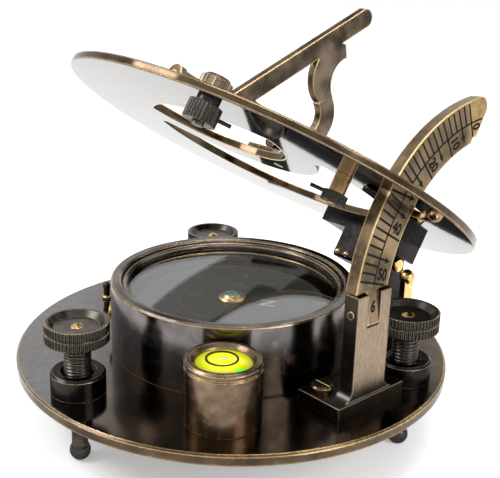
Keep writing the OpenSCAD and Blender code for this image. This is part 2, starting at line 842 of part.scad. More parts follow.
module dial_plate() {
    bevel = 0.3;
    color(bronze) on_dial() difference() {
        translate([0, 0, -plate_t]) turned([[0, 0], [plate_d / 2 - bevel, 0], [plate_d / 2, bevel],
            [plate_d / 2, plate_t - bevel], [plate_d / 2 - bevel, plate_t], [0, plate_t]]);
        translate([0, 0, -plate_t - 1]) linear_extrude(plate_t + 2) {
            south_window();
            north_window();
            arc_window();
            translate([lift_x, -lift_y]) circle(r = stud_d / 2 + fit);
            translate([inner_x, -inner_y]) circle(r = stud_d / 2 + fit);
            for (x = leaf_screw_xs) translate([x, hinge_y - leaf_screw_s])
                circle(r = stud_d / 2 + fit);
            lug_rivet_places() circle(r = rivet_d / 2 + fit);
        }
    }
}

// Screw near the rim, with a knurled head above and a locking nut below
module rim_screw() {
    low = plate_t + lift_drop + nut_t + 0.8;
    color(brass_grey) on_dial() translate([lift_x, -lift_y, 0]) union() {
        linear_extrude(lift_t - 0.8) polygon(knurl(lift_d, 22, 0.35));
        translate([0, 0, lift_t - 0.8]) cylinder(d1 = lift_d - 0.8, d2 = lift_d - 2.4, h = 0.8);
        translate([0, 0, -low]) cylinder(d = stud_d, h = low + 0.1);
    }
}

// Knurled nut with a tommy pin, its upper face at z = 0 and its neck above that
module thumb_nut(d, t, neck, pin_z, pin_l, az) {
    difference() {
        union() {
            translate([0, 0, -t]) linear_extrude(t) polygon(knurl(d, 28, 0.3));
            if (neck > 0) cylinder(d = d - 2.6, h = neck);
            rotate([0, 0, az]) translate([0, 0, pin_z]) rotate([0, 90, 0])
                cylinder(d = tommy_d, h = pin_l);
        }
        translate([0, 0, -t - 1]) cylinder(r = stud_d / 2 + fit, h = t + neck + 2);
    }
}

module rim_nut() {
    color(black_metal) on_dial() translate([lift_x, -lift_y, -plate_t - lift_drop])
        thumb_nut(nut_d, nut_t, lift_drop, -nut_t / 2, tommy_l, 50);
}

module inner_screw() {
    low = plate_t + collar_t + inner_nut_t + 0.4;
    color(brass_grey) on_dial() translate([inner_x, -inner_y, 0]) difference() {
        union() {
            cylinder(d1 = inner_head_d, d2 = inner_head_d - 1.2, h = inner_head_t);
            translate([0, 0, -low]) cylinder(d = stud_d, h = low + 0.1);
        }
        translate([-inner_head_d, -slot_w / 2, inner_head_t - slot_depth])
            cube([2 * inner_head_d, slot_w, slot_depth + 1]);
    }
}

module inner_collar() {
    color(brass) on_dial() translate([inner_x, -inner_y, -plate_t - collar_t]) turned([
        [stud_d / 2 + fit, 0], [collar_d / 2, 0], [collar_d / 2, collar_t],
        [stud_d / 2 + fit, collar_t]]);
}

module inner_nut() {
    color(black_metal) on_dial() translate([inner_x, -inner_y, -plate_t - collar_t])
        thumb_nut(inner_nut_d, inner_nut_t, 0, -tommy_d / 2 - 0.1, inner_tommy_l, 225);
}

// Gnomon
// Lug with its one ear on the side away from the gnomon, mid is the middle of the gnomon's lobe
module lug(mid, side) {
    ear_y = lobe_l / 2 + lug_gap;
    block_l = ear_y + lug_ear + lobe_l / 2 + lug_back;
    color(brass_grey) on_dial() translate([0, mid, 0]) mirror([0, side < 0 ? 1 : 0, 0]) difference() {
        union() {
            translate([-lug_w / 2, -lobe_l / 2 - lug_back, 0]) cube([lug_w, block_l, lug_t]);
            translate([0, ear_y, 0]) rotate([-90, 0, 0]) linear_extrude(lug_ear) union() {
                translate([0, -pivot_h]) circle(r = ear_g);
                translate([-ear_g, -pivot_h]) square([2 * ear_g, pivot_h - lug_t / 2]);
            }
        }
        translate([0, 0, pivot_h]) rotate([-90, 0, 0]) cylinder(r = gpin_d / 2 + fit, h = 2 * block_l);
        for (s = [-1, 1]) translate([s * (lug_w / 2 - 1.7), 0, -1])
            cylinder(r = rivet_d / 2 + fit, h = lug_t + 2);
    }
}

module lug_south() lug(lug_s_mid, -1);
module lug_north() lug(lug_n_mid, 1);

module lug_rivet_places() {
    for (y = [lug_s_mid, lug_n_mid], s = [-1, 1]) translate([s * (lug_w / 2 - 1.7), y]) children();
}

module lug_rivets() {
    color(brass) on_dial() lug_rivet_places() {
        translate([0, 0, -plate_t]) cylinder(d = rivet_d, h = plate_t + lug_t + 0.1);
        translate([0, 0, lug_t]) cylinder(d1 = rivet_d + 1, d2 = rivet_d - 0.4, h = 0.7);
    }
}

// The two pivots, each seen from its lobe's middle towards its ear
module pivot_places() {
    translate([0, lug_s_mid, pivot_h]) rotate([90, 0, 0]) children();
    translate([0, lug_n_mid, pivot_h]) rotate([-90, 0, 0]) children();
}

module gnomon_pins() {
    color(brass) on_dial() pivot_places() translate([0, 0, -lobe_l / 2 + 0.9])
        cylinder(d = gpin_d, h = lobe_l - 0.9 + lug_gap + lug_ear + 0.4);
}

// Side view of the gnomon: north along the plate, and height above it
module gnomon_outline() {
    s = [cos(style_a), sin(style_a)];
    n = [sin(style_a), -cos(style_a)];
    foot = [-style_foot, 0];
    run = style_h / sin(style_a);
    low = foot + s * (bar_low / sin(style_a));
    tip = foot + s * run;
    under = tip + n * style_w;
    // The style bar with its rounded tip
    polygon([low, tip - s * 2.4, under - s * 2.4, low + n * style_w + s * (style_w / tan(style_a))]);
    translate(tip - s * 2.4 + n * style_w / 2) circle(r = style_w / 2 + swell);
    // The base bar, with its arm to the south pivot
    polygon([low, [leg_y + leg_n - 0.3, bar_low], [leg_y + leg_n - 0.3, bar_high],
        low + [(bar_high - bar_low) / tan(style_a), bar_high - bar_low]]);
    polygon([[lug_s_mid, pivot_h - 1.6], [low[0] + 4, pivot_h - 1.6], [low[0] + 6, bar_low + 1], low,
        [lug_s_mid, pivot_h + lobe_r - 0.2]]);
    translate([lug_n_mid - lobe_l / 2 + 0.3, pivot_h]) square([lobe_l - 0.6, bar_low - pivot_h + 1]);
    // The scrolled leg: its foot with the lower bend, then its upper bend under the style
    translate([leg_y, 0]) intersection() {
        difference() {
            union() {
                translate([7.6, 16.5]) circle(r = 9);
                translate([leg_in, bar_low]) square([leg_n - leg_in, 16.5 - bar_low]);
            }
            translate([5.5, leg_bend_h]) circle(r = 5.3);
            translate([0, bar_high - 0.5]) square([leg_in, leg_bend_h - bar_high + 0.5]);
        }
        polygon([[6.6, 20], [11.6, 24.6], [24, 35], [24, bar_low], [leg_in - 1, bar_low]]);
    }
    translate([leg_y, 0]) intersection() {
        difference() {
            translate([9.5, 30.5]) circle(r = 9.9);
            translate([15, 31.5]) circle(r = 7.5);
        }
        polygon([[6.7, 20.3], [11.8, 24.7], [12.4, 34], [9.2, 38], [6, 41.4], [-4, 36], [-4, 22]]);
    }
}

module gnomon() {
    color(brass_grey) on_dial() difference() {
        union() {
            east_slab(0, gnomon_t) gnomon_outline();
            pivot_places() translate([0, 0, -lobe_l / 2]) cylinder(r = lobe_r, h = lobe_l);
        }
        pivot_places() translate([0, 0, -lobe_l / 2 + 0.7]) cylinder(r = gpin_d / 2 + fit, h = lobe_l);
    }
}

// Small stud on the west side of the base
module stud_place() {
    rotate([0, 0, 192]) translate([lev_r - 1, 0, base_lift]) children();
}

module west_stud() {
    color(brass) stud_place() union() {
        cylinder(d = 2, h = base_t + 4.4);
        translate([0, 0, base_t]) cylinder(d = 3, h = 0.8);
        translate([0, 0, base_t + 4.4]) sphere(d = 2.6);
    }
}

base_plate();
boss_south();
boss_northeast();
boss_northwest();
spindle_south();
spindle_northeast();
spindle_northwest();
knob_south();
knob_northeast();
knob_northwest();
compass_box();
box_screws();
bezel_ring();
compass_glass();
pivot_pin();
compass_card();
card_cap();
card_jewel();
card_magnet();
lock_screw();
level_housing();
level_screw();
level_vial();
arc_post();
post_screws();
latitude_arc();
arc_pin();
hinge_bracket();
bracket_screws();
hinge_pin();
hinge_keeper();
keeper_rivet();
hinge_leaf();
leaf_screws();
leaf_rivets();
dial_plate();
rim_screw();
rim_nut();
inner_screw();
inner_collar();
inner_nut();
lug_south();
lug_north();
lug_rivets();
gnomon_pins();
gnomon();
west_stud();
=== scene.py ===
"""Looks of the sundial compass: finishes, threads, engraving, card print, level and stage."""

import json
import math
import typing

import bpy
from mathutils import Matrix, Vector


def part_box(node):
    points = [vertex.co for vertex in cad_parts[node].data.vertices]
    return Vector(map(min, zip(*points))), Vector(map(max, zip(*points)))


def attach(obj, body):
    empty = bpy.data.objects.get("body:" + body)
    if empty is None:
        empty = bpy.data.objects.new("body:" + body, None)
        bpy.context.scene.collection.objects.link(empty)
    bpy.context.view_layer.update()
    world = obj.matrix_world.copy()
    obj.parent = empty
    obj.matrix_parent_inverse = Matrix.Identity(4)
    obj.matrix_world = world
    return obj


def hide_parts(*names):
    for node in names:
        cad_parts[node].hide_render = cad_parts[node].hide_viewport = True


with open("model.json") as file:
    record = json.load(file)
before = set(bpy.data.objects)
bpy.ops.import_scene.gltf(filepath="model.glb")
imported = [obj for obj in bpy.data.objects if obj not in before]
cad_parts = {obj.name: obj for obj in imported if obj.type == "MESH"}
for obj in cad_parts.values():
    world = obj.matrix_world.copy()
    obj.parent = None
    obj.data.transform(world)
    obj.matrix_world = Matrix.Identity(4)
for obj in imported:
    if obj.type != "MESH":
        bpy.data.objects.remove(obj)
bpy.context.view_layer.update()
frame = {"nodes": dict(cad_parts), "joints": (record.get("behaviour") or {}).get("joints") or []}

bl_info = {
    "name": "Sundial compass looks",
    "version": (1, 0, 0),
    "blender": (4, 5, 0),
    "location": "3D View > Sidebar > Sundial",
    "description": "Finishes a sundial compass: metal, threads, engraving, card print and stage",
    "category": "Object",
}

MM = 0.001
EAST = Vector((1, 0, 0))
NORTH = Vector((0, 1, 0))
UP = Vector((0, 0, 1))
CORNERS = ("south", "northeast", "northwest")

# Depth below a face and height over it of engraving and of print, in millimetres
ENGRAVED = (-0.05, 0.03)
PRINTED = (-0.04, 0.03)

# Share of a letter's size from its baseline to its middle
LETTER_MIDDLE = 0.35

# Levelling spindles, in millimetres
BALL_R = 2.9
BALL_FLAT_R = 1.5
BALL_ROWS = 14
NECK_R = 2.2
NECK_TOP = 8.4
THREAD_LOW = 10.6
THREAD_CHAMFER = 0.5
THREAD_ROWS = 7
THREAD_SEGMENTS = 36
STUB_R = 1.7
STUB_POINT = 0.9

# Latitude arc and its scale, in millimetres and degrees
ARC_IN = 47.2
ARC_OUT = 58.4
PARTING_R = 52.5
PARTING_FROM = 18.0
PARTING_TO = 84.6
SCALE_START = 79.1
SCALE_STEP = 2.34
TICK_MARGIN = 0.6
SCALE_NUMBERS = {0: "0", 5: "10", 10: "20", 15: "30", 20: "40", 26: "50"}
SCALE_ARROWS = (2, 7, 12, 17, 23)
SCALE_LAST = 26
NUMBERED_LINE = 0.25
END_LINE = 1.5
ARROW_TIP = 1.1
ARROW_LINE = 2.9
ARROW_SHOULDER = 3.1
ARROW_HALF = 0.85
NUMERAL_GAP = 0.7
NUMERAL_RISE = 0.8
NUMERAL_RISE_FIRST = 0.3
NUMERAL_SQUEEZE = 0.82
NUMERAL_BOLD = 0.18
FORK_NUMBER_STEP = 29.4
FORK_NUMBER_GAP = 0.2
TIP_LENGTH = 9
POST_DARK_FOOT = 5

# Dial plate and its hour ring, in millimetres and degrees
PLATE_T = 2.2
STYLE_FOOT = 30.4
STYLE_SLOPE = 53.5
FIRST_HOUR = 6
HOURS = ("VI", "VII", "VIII", "IX", "X", "XI", "XII", "I", "II", "III", "IIII", "V", "VI")
HOUR_NAME_R = 39.6
HOUR_BOLD = 0.1
HOUR_TICK_STARTS = (54.0, 57.6, 56.0, 57.6)
HOUR_TICK_END = 60.0
HOUR_HALF_WIDTH = 0.26
QUARTER_HALF_WIDTH = 0.16
HOUR_RINGS = (53.8, 60.0, 60.8)
HOUR_RING_HALF = 0.13

# Compass card's print, in millimetres, a point as half width, tip, waist and foot
CARD_TICK_STARTS = (23.2, 24.6)
CARD_TICK_END = 26.2
CARD_TICK_HALF = 0.14
CARD_RINGS = ((26.2, 26.6), (15.6, 15.85))
CARD_LETTER_R = 10.6
MAIN_POINT = (1.0, 21.6, 18.6, 16.6)
HALF_POINT = (0.5, 20.6, 18.4, 16.8)

# Spirit level, in millimetres
LEVEL_RING = (3.7, 4.25)
LEVEL_RING_OFF = Vector((-0.9, 0.2, 0))
LEVEL_RING_DEPTH = (-0.5, 0.02)
BUBBLE_OFF = Vector((-0.5, 0.4, 0))
BUBBLE_RISE = 0.5
BUBBLE_LIFT = 0.03
BUBBLE_DEPTH = 0.6

# Side of the base's top painted a lighter, glossier grey as a painted reflection, where that begins and how
# wide its border is
PAINTED_SHEEN_SIDE = Vector((-0.65, -0.76, 0))
PAINTED_SHEEN_START = 22 * MM
PAINTED_SHEEN_BLEND = 30 * MM

# Stage: lamps with place and size in metres and power in watts; cards and floor in millimetres
LAMPS = (("key", (-0.30, -0.42, 0.55), 0.35, 3.0),
         ("side", (0.55, 0.05, 0.35), 0.30, 1.6),
         ("top", (0.05, 0.15, 0.70), 0.45, 2.0))
LAMP_AIM = Vector((0.0, 0.0, 0.04))
# Dark cards behind the base, seen only in reflections: they paint dark reflections into the polished faces
DARK_CARDS = (((-106, 45), (-88, 45), (-88, 100), (-106, 100)),
              ((-89, 40), (8, 60), (8, 99), (-10, 95), (-89, 70)))
DARK_CARD_HEIGHTS = (0.5, 0.6)
FLOOR_R = 4000
FLOOR_SIDES = 64
WHITE = (1.0, 1.0, 1.0, 1.0)
SKY_COLOUR = (0.97, 0.98, 1.0, 1.0)
SKY_LIGHT = 0.7
FLOOR_GLOW = 0.3

# Camera: sensor and lens in millimetres, place in metres
SENSOR_WIDTH = 36.0
FOCAL_LENGTH = 69.2
LENS_SHIFT = (0.057, -0.031)
CAMERA_PLACE = (0.19305, -0.17349, 0.14464)
CAMERA_FORWARD = Vector((-0.71346, 0.62375, -0.31923))
CAMERA_RIGHT = Vector((0.65279, 0.75726, 0.02058))

# Patina: clouds, flecks and streaks to the metre, and depth of the fine scratches in metres
CLOUDS = 75.0
FLECKS = 900.0
STREAKS = 420.0
SCRATCH_DEPTH = 0.00006


# Values a user would change
class SundialSizes(bpy.types.PropertyGroup):
    """Sizes of the pieces added to the CAD parts."""
    thread_pitch: bpy.props.FloatProperty(
        name="Thread pitch", description="Rise of the levelling thread in one turn",
        default=1.0 * MM, min=0.0005, max=0.003, unit="LENGTH", precision=5)
    thread_depth: bpy.props.FloatProperty(
        name="Thread depth", description="Depth of the levelling thread",
        default=0.45 * MM, min=0.0001, max=0.0008, unit="LENGTH", precision=5)
    tick_width: bpy.props.FloatProperty(
        name="Tick width", description="Width of the engraved lines on the latitude arc",
        default=0.6 * MM, min=0.0001, max=0.001, unit="LENGTH", precision=5)
    numeral_size: bpy.props.FloatProperty(
        name="Numeral size", description="Letter size of the degrees on the latitude arc",
        default=4.2 * MM, min=0.001, max=0.006, unit="LENGTH", precision=5)
    hour_size: bpy.props.FloatProperty(
        name="Hour size", description="Letter size of the hours on the dial plate",
        default=4.2 * MM, min=0.002, max=0.007, unit="LENGTH", precision=5)
    letter_size: bpy.props.FloatProperty(
        name="Letter size", description="Letter size of the points on the compass card",
        default=6.2 * MM, min=0.003, max=0.012, unit="LENGTH", precision=5)
    bubble_d: bpy.props.FloatProperty(
        name="Bubble", description="Diameter of the bubble in the spirit level",
        default=5.2 * MM, min=0.002, max=0.009, unit="LENGTH", precision=5)
    wear: bpy.props.FloatProperty(
        name="Edge wear", description="Width of the bright wear along the edges",
        default=0.75 * MM, min=0.0001, max=0.002, unit="LENGTH", precision=5)
    north: bpy.props.FloatProperty(
        name="Card north", description="Direction of the card's north mark from east",
        default=math.radians(35.6), subtype="ANGLE")


def tone(name, text, value):
    return bpy.props.FloatVectorProperty(name=name, description=text, default=value, size=3,
                                         min=0.0, max=1.0, subtype="COLOR")


class SundialTones(bpy.types.PropertyGroup):
    """Colours of the finishes."""
    # The base tone is a painted reflection: lighter grey on the left side of the base's top
    base: tone("Base", "Grey polish on the light side of the base's top", (0.21, 0.20, 0.20))
    plate: tone("Plate", "Brown bronze of the base and the dial plate", (0.082, 0.057, 0.036))
    mirror: tone("Mirror", "Polished metal of the dial plate's underside", (0.17, 0.156, 0.142))
    box: tone("Box", "Blackened bronze of the compass box", (0.125, 0.114, 0.110))
    level: tone("Level", "Warm bronze of the level's housing", (0.150, 0.104, 0.069))
    brass: tone("Brass", "Brown brass of the latitude arc", (0.175, 0.125, 0.073))
    post: tone("Post", "Dark patina on the post's sides and foot", (0.068, 0.060, 0.053))
    rubbed: tone("Rubbed brass", "Brass of the post's east face, rubbed light", (0.29, 0.22, 0.155))
    gnomon: tone("Gnomon", "Grey bronze of the gnomon", (0.118, 0.089, 0.063))
    dish: tone("Dish", "Satin bronze in the dished tops of the heads", (0.15, 0.135, 0.115))
    bright: tone("Bright brass", "Bright brass of the small fittings", (0.78, 0.52, 0.22))
    tip: tone("Arc tip", "Golden brass of the arc's smooth end", (0.46, 0.32, 0.13))
    collar: tone("Collar", "Brown brass of the inner screw's collar", (0.34, 0.22, 0.10))
    copper: tone("Copper", "Coppery screws in the post's foot", (0.088, 0.053, 0.038))
    black: tone("Black metal", "Blackened heads, nuts and hinge", (0.026, 0.024, 0.023))
    worn: tone("Worn edge", "Bare metal showing on the edges", (0.86, 0.60, 0.28))
    ink: tone("Ink", "Filling of the engraved lines", (0.012, 0.011, 0.010))
    printed: tone("Print", "North letter on the compass card", (0.50, 0.50, 0.49))
    faint: tone("Faint print", "Other print on the compass card", (0.085, 0.085, 0.085))
    card: tone("Card", "Ground of the compass card", (0.016, 0.016, 0.018))
    # The liquid's colour also feeds its painted glow, and the green is a painted glint
    lime: tone("Liquid", "Liquid of the spirit level", (0.72, 0.74, 0.008))
    green: tone("Green", "Green glint at the edge of the level's liquid", (0.10, 0.62, 0.03))
    jewel: tone("Jewel", "Stone in the card's cap", (0.03, 0.14, 0.13))
    hinge_edge: tone("Hinge edge", "Worn edges of the black hinge", (0.42, 0.32, 0.2))
    dull_edge: tone("Dull edge", "Edges of the nuts and heads, little worn", (0.2, 0.17, 0.13))
    steel: tone("Steel", "Hidden screws, pivot and magnet", (0.42, 0.42, 0.42))
    steel_edge: tone("Steel edge", "Edges of the steel", (0.7, 0.7, 0.7))
    spindle: tone("Spindle", "Dark steel of the levelling spindles", (0.05, 0.044, 0.039))
    spindle_edge: tone("Thread edge", "Worn crests of the levelling threads", (0.5, 0.4, 0.27))
    bubble: tone("Bubble", "Light through the level's bubble", (0.86, 0.90, 0.35))


# Shader arithmetic
class Wire:
    """Output socket that can be added, multiplied and so on."""

    def __init__(self, shade, socket):
        self.shade = shade
        self.socket = socket

    def reckon(self, operation, a, b):
        return self.shade.node("ShaderNodeMath", {"operation": operation}, {0: a, 1: b})

    def __add__(self, other):
        return self.reckon("ADD", self, other)

    def __sub__(self, other):
        return self.reckon("SUBTRACT", self, other)

    def __rsub__(self, other):
        return self.reckon("SUBTRACT", other, self)

    def __mul__(self, other):
        return self.reckon("MULTIPLY", self, other)

    def __truediv__(self, other):
        return self.reckon("DIVIDE", self, other)

    def __rtruediv__(self, other):
        return self.reckon("DIVIDE", other, self)

    __radd__ = __add__
    __rmul__ = __mul__

    def most(self, other):
        return self.reckon("MAXIMUM", self, other)

    def rise(self, low, high):
        """Smooth step from 0 at low to 1 at high."""
        return self.shade.node("ShaderNodeMapRange", {"interpolation_type": "SMOOTHSTEP"},
                               {"Value": self, "From Min": low, "From Max": high})


class Shade:
    """Node tree of a material, or of a world, built node by node."""

    def __init__(self, name, owners=None):
        self.owner = (bpy.data.materials if owners is None else owners).new(name)
        self.owner.use_nodes = True
        self.tree = self.owner.node_tree

    def node(self, kind, settings, inputs, out=0):
        made = self.tree.nodes.new(kind)
        for key, value in settings.items():
            setattr(made, key, value)
        self.feed(made, inputs)
        return Wire(self, made.outputs[out])

    def feed(self, target, inputs):
        for key, value in inputs.items():
            if isinstance(value, Wire):
                self.tree.links.new(value.socket, target.inputs[key])
            else:
                target.inputs[key].default_value = value

    def mix(self, factor, a, b):
        return self.node("ShaderNodeMix", {"data_type": "RGBA"}, {0: factor, 6: a, 7: b}, 2)

    def place(self, stretch=(1, 1, 1)):
        spot = self.node("ShaderNodeTexCoord", {}, {}, "Object")
        if stretch == (1, 1, 1):
            return spot
        return self.node("ShaderNodeVectorMath", {"operation": "MULTIPLY"}, {0: spot, 1: stretch})

    def along(self, kind, out, way):
        """Share of a vector input along a direction."""
        return self.node("ShaderNodeVectorMath", {"operation": "DOT_PRODUCT"},
                         {0: self.node(kind, {}, {}, out), 1: tuple(way)}, "Value")

    def noise(self, where, scale, detail):
        return self.node("ShaderNodeTexNoise", {},
                         {"Vector": where, "Scale": scale, "Detail": detail})

    def edges(self, width):
        """Rounded normal, and a mask that rises along the edges of the piece."""
        soft = self.node("ShaderNodeBevel", {"samples": 6}, {"Radius": width}, "Normal")
        plain = self.node("ShaderNodeNewGeometry", {}, {}, "Normal")
        along = self.node("ShaderNodeVectorMath", {"operation": "DOT_PRODUCT"},
                          {0: soft, 1: plain}, "Value")
        return soft, 1.0 - along

    def finish(self, **inputs):
        """Sets the principled shader's inputs and gives back the material."""
        self.feed(self.tree.nodes["Principled BSDF"],
                  {key.replace("_", " "): value for key, value in inputs.items()})
        return self.owner


def rgba(colour, gain=1.0):
    return (*(min(1.0, part * gain) for part in colour), 1.0)


class Rub(typing.NamedTuple):
    """Second finish of a metal, on the faces that look one way and beyond a place along an axis.

    patch is how much the patina takes back, blend the width of the border in metres and edge the
    colour of its worn edges where that differs.
    """
    colour: tuple
    way: Vector
    rough: float
    axis: Vector = UP
    start: float = 0.0
    patch: float = 0.0
    blend: float = 3 * MM
    edge: tuple = None


def metal(name, colour, worn, wear, rough=0.16, spread=0.45, grain=(1, 1, 1), keep=0.5, tint=0.6,
          scratch=0.12, clouds=CLOUDS, rubbed=None):
    """Polished metal with cloudy patina, fine scratches, bare worn edges and perhaps a rubbed face."""
    shade = Shade(name)
    spot = shade.place()
    cloud = shade.noise(spot, clouds, 5.0)
    fleck = shade.noise(spot, FLECKS, 3.0)
    streak = shade.noise(shade.place(grain), STREAKS, 6.0)
    soft, edge = shade.edges(wear)
    rubbing = edge * 5.0 + (fleck - 0.5) * 0.7 + (cloud - 0.5) * 0.6
    bare = (rubbing - (1.0 - keep) * 0.4).rise(0.12, 0.62)
    ground = shade.mix(cloud.rise(0.3, 0.7), rgba(colour, 1.0 - spread), rgba(colour, 1.0 + spread))
    ground = shade.mix(streak.rise(0.52, 0.78) * 0.45, ground, rgba(colour, 1.9))
    matt = rough + streak.rise(0.45, 0.8) * scratch + cloud * scratch * 0.7 + bare * 0.06
    bright = rgba(worn)
    if rubbed:
        facing = shade.along("ShaderNodeNewGeometry", "Normal", rubbed.way).rise(0.55, 0.9)
        beyond = shade.along("ShaderNodeTexCoord", "Object", rubbed.axis)
        share = (facing * beyond.rise(rubbed.start - MM, rubbed.start + rubbed.blend)
                 * (1.0 - (1.0 - cloud.rise(0.25, 0.6)) * rubbed.patch))
        grit = scratch * 2
        light = shade.mix(streak.rise(0.35, 0.7), rgba(rubbed.colour, 1 - grit),
                          rgba(rubbed.colour, 1 + grit))
        ground = shade.mix(share, ground, light)
        matt = matt + (rubbed.rough + streak * scratch - matt) * share
        if rubbed.edge is not None:
            bright = shade.mix(share, bright, rgba(rubbed.edge))
    skin = shade.mix(bare, ground, bright)
    bump = shade.node("ShaderNodeBump", {}, {"Strength": scratch, "Distance": SCRATCH_DEPTH,
                                             "Height": streak + fleck * 0.5, "Normal": soft})
    return shade.finish(Base_Color=skin, Metallic=1.0, Normal=bump, Roughness=matt,
                        Specular_Tint=(tint, tint, tint, 1.0))


def paint(name, colour, rough, gloss=0.5):
    """Ink, print or paper with slight unevenness."""
    shade = Shade(name)
    fleck = shade.noise(shade.place(), 1200.0, 3.0)
    body = shade.mix(fleck, rgba(colour, 0.8), rgba(colour, 1.15))
    bump = shade.node("ShaderNodeBump", {}, {"Strength": 0.2, "Distance": 0.00002, "Height": fleck})
    return shade.finish(Base_Color=body, Roughness=rough + fleck * 0.2, Normal=bump,
                        Specular_IOR_Level=gloss)


def glass(name):
    """Clear cover glass with faint smears."""
    shade = Shade(name)
    smear = shade.noise(shade.place((1, 2.5, 1)), 45.0, 5.0)
    return shade.finish(Base_Color=(0.93, 0.96, 0.95, 1.0), Transmission_Weight=1.0, IOR=1.5,
                        Roughness=smear.rise(0.5, 0.85) * 0.06)


def stone(name, colour):
    """Polished blue-green stone with darker veins."""
    shade = Shade(name)
    vein = shade.noise(shade.place(), 650.0, 5.0)
    body = shade.mix(vein.rise(0.35, 0.65), rgba(colour, 0.35), rgba(colour, 1.7))
    return shade.finish(Base_Color=body, Roughness=0.05 + vein * 0.06, Coat_Weight=1.0)


def liquid(name, colour, green, middle, radius):
    """Coloured liquid of the level with a painted glow, painted brighter towards its middle and with a
    painted green glint at its eastern edge.
    """
    shade = Shade(name)
    spot = shade.place()
    off = shade.node("ShaderNodeVectorMath", {"operation": "DISTANCE"},
                     {0: spot, 1: tuple(middle)}, "Value")
    swirl = shade.noise(spot, 260.0, 3.0)
    # Painted light in the middle of the liquid, painted shade towards its rim
    painted_rim_shade = (off / radius + (swirl - 0.5) * 0.25).rise(0.25, 1.05)
    # Painted green glint near the eastern edge
    edge = shade.node("ShaderNodeVectorMath", {"operation": "DISTANCE"},
                      {0: spot, 1: tuple(middle + EAST * radius * 1.15)}, "Value")
    glint = 1.0 - (edge / radius + (swirl - 0.5) * 0.3).rise(0.3, 0.5)
    body = shade.mix(glint, shade.mix(painted_rim_shade, rgba(colour, 1.25), rgba(colour, 0.55)), rgba(green))
    glow = shade.mix(glint, shade.mix(painted_rim_shade, rgba(colour, 0.35), rgba(colour, 0.08)), rgba(green, 0.25))
    # The emission is a painted glow: the liquid gives light though it is no lamp
    return shade.finish(Base_Color=body, Emission_Color=glow, Emission_Strength=1.8, Coat_Weight=0.08,
                        Specular_IOR_Level=0.25, Roughness=0.06 + swirl * 0.05)


# Meshes
class Mesh:
    """Vertices and faces gathered in millimetres, made into one piece at the end."""

    def __init__(self):
        self.points = []
        self.faces = []

    def add(self, points, faces):
        first = len(self.points)
        self.points.extend(Vector(p) for p in points)
        self.faces.extend([first + i for i in face] for face in faces)

    def prism(self, outline, matrix, low, high):
        """Flat outline in a plane, from height low to height high over it."""
        count = len(outline)
        points = [matrix @ Vector((x, y, z)) for z in (low, high) for x, y in outline]
        sides = [(i, (i + 1) % count, (i + 1) % count + count, i + count) for i in range(count)]
        self.add(points, sides + [tuple(range(count - 1, -1, -1)), tuple(range(count, 2 * count))])

    def ring(self, matrix, inner, outer, low, high, segments=160, start=0.0, turn=2 * math.pi):
        """Flat ring, or part of one, of rectangular section."""
        whole = turn > 6.28
        steps = segments if whole else segments + 1
        points, faces = [], []
        for i in range(steps):
            a = start + turn * i / segments
            for r, z in ((inner, low), (outer, low), (outer, high), (inner, high)):
                points.append(matrix @ Vector((r * math.cos(a), r * math.sin(a), z)))
        for i in range(segments):
            j = (i + 1) % steps
            faces += [(4 * i + k, 4 * j + k, 4 * j + (k + 1) % 4, 4 * i + (k + 1) % 4) for k in range(4)]
        if not whole:
            faces += [(3, 2, 1, 0), tuple(4 * segments + k for k in range(4))]
        self.add(points, faces)

    def word(self, text, size, matrix, low, high, align="CENTER", bold=0.0):
        """Text as solid letters, its baseline on the plane's X axis."""
        curve = bpy.data.curves.new("word", "FONT")
        curve.body = text
        curve.size = size
        curve.align_x = align
        curve.offset = bold
        curve.resolution_u = 4
        curve.extrude = (high - low) / 2
        holder = bpy.data.objects.new("word", curve)
        bpy.context.scene.collection.objects.link(holder)
        ready = holder.evaluated_get(bpy.context.evaluated_depsgraph_get())
        solid = bpy.data.meshes.new_from_object(ready)
        lift = Vector((0, 0, (low + high) / 2))
        self.add([matrix @ (v.co + lift) for v in solid.vertices],
                 [tuple(p.vertices) for p in solid.polygons])
        bpy.data.objects.remove(holder)
        bpy.data.curves.remove(curve)
        bpy.data.meshes.remove(solid)

    def lathe(self, profile, middle, segments=48, cut=None):
        """Closed solid turned about a vertical line, its profile from bottom to top.

        cut gives how much deeper it is at a height and a share of the turn.
        """
        points, faces = [], []
        for r, z in profile:
            for i in range(segments):
                a = 2 * math.pi * i / segments
                radius = r - cut(z, i / segments) if cut else r
                points.append((middle.x + radius * math.cos(a), middle.y + radius * math.sin(a), z))
        for row in range(len(profile) - 1):
            for i in range(segments):
                j = (i + 1) % segments
                faces.append((row * segments + i, row * segments + j,
                              (row + 1) * segments + j, (row + 1) * segments + i))
        top = (len(profile) - 1) * segments
        faces += [tuple(range(segments - 1, -1, -1)), tuple(range(top, top + segments))]
        self.add(points, faces)

    def stand(self, name, material, smooth=False):
        """Object made of what was gathered, linked to the scene."""
        mesh = bpy.data.meshes.new(name)
        mesh.from_pydata([p * MM for p in self.points], [], self.faces)
        mesh.validate()
        mesh.materials.append(material)
        if smooth:
            mesh.shade_smooth()
            mesh.set_sharp_from_angle(angle=math.radians(40))
        made = bpy.data.objects.new(name, mesh)
        bpy.context.scene.collection.objects.link(made)
        return made

    def piece(self, name, body, slot, material, replaces=(), smooth=False):
        """Part of the object, riding on a body of the frame."""
        made = self.stand(name, material, smooth)
        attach(made, body)
        if replaces:
            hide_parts(*replaces)


def box_mm(name):
    """Lower and upper corner of a CAD node, in millimetres."""
    if name not in frame["nodes"]:
        raise RuntimeError("the frame has no node " + name)
    low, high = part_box(name)
    return Vector(low) / MM, Vector(high) / MM


def middle_mm(name):
    low, high = box_mm(name)
    return (low + high) / 2


def top_mm(name):
    """Middle of the top of a CAD node's box, in millimetres."""
    middle = middle_mm(name)
    return Vector((middle.x, middle.y, box_mm(name)[1].z))


def radius_mm(name):
    low, high = box_mm(name)
    return (high.x - low.x) / 2


